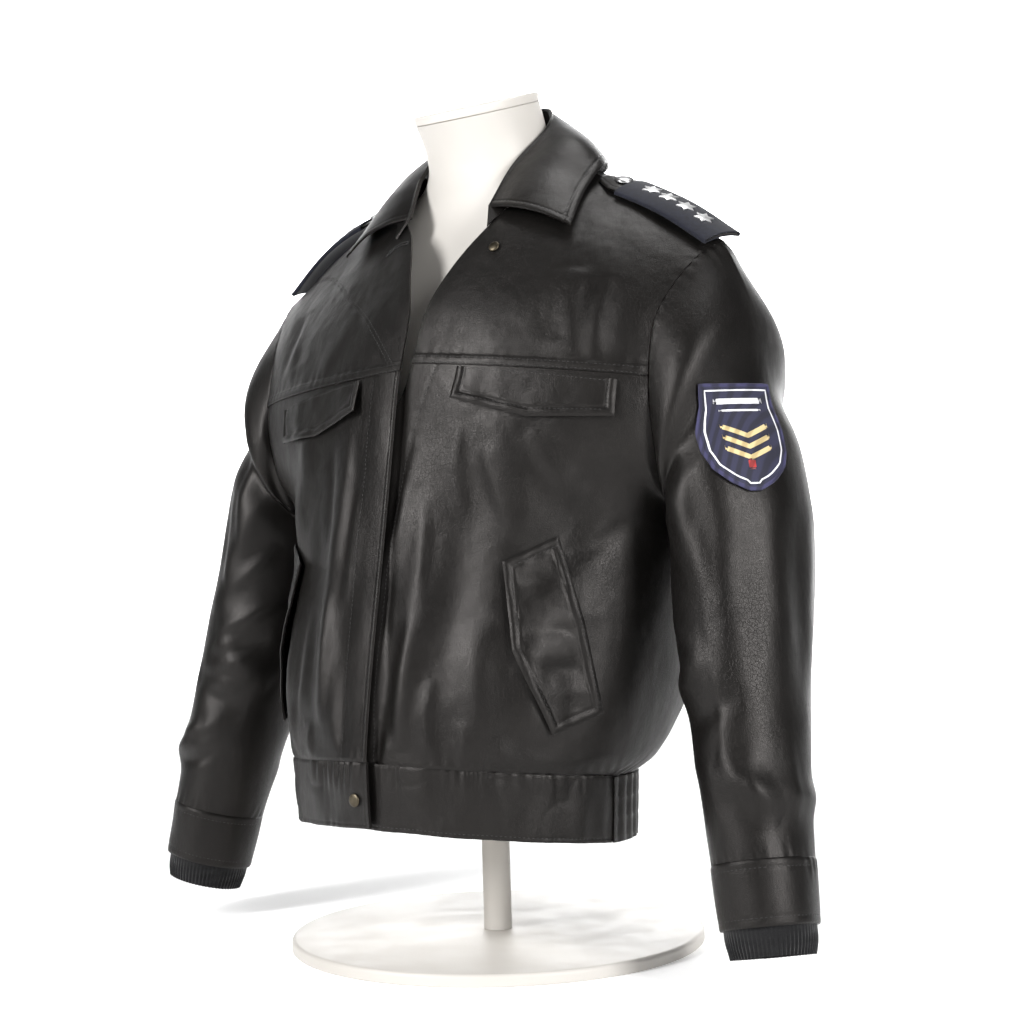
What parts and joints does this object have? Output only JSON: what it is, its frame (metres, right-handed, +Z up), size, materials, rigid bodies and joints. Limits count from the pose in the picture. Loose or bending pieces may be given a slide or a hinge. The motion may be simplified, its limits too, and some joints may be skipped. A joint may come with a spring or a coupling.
{
  "type": "leather police uniform jacket on a limbless dress form",
  "caption": "Leather police blouson with collar, shoulder straps, flap pockets and knit cuffs, worn on a white limbless dress form with a round base.",
  "frame": {"origin": "middle of the round base, on the surface that it stands on", "axes": "+Z up, -Y the way that the jacket's front faces, +X the wearer's left"},
  "size_m": [0.7996, 0.41, 0.8526],
  "materials": {
    "leather": "semi-gloss near-black smooth leather",
    "elastic": "near-black leather gathered on elastic",
    "knit": "black rib knit",
    "slide": "dark navy cloth",
    "silver": "polished silver-coloured metal",
    "bronze": "dark bronze metal",
    "patch": "embroidered navy cloth",
    "form": "matt warm white"
  },
  "bodies": {
    "root": {"front_left": "leather", "front_right": "leather", "yoke_left": "leather", "yoke_right": "leather", "back": "leather", "sleeve_left": "leather", "sleeve_right": "leather", "cuff_left": "leather", "cuff_right": "leather", "band_left": "leather", "band_right": "leather", "collar_stand": "leather", "collar_leaf": "leather", "chest_flap_left": "leather", "chest_flap_right": "leather", "pocket_flap_left": "leather", "pocket_flap_right": "leather", "strap_left": "leather", "strap_right": "leather", "band_back": "elastic", "knit_cuff_left": "knit", "knit_cuff_right": "knit", "rank_slide_left": "slide", "rank_slide_right": "slide", "strap_button_left": "silver", "strap_button_right": "silver", "neck_button": "bronze", "band_snap": "bronze", "sleeve_patch": "patch", "form_body": "form", "form_cap": "form", "stand_pole": "form", "stand_base": "form"}
  },
  "joints": []
}
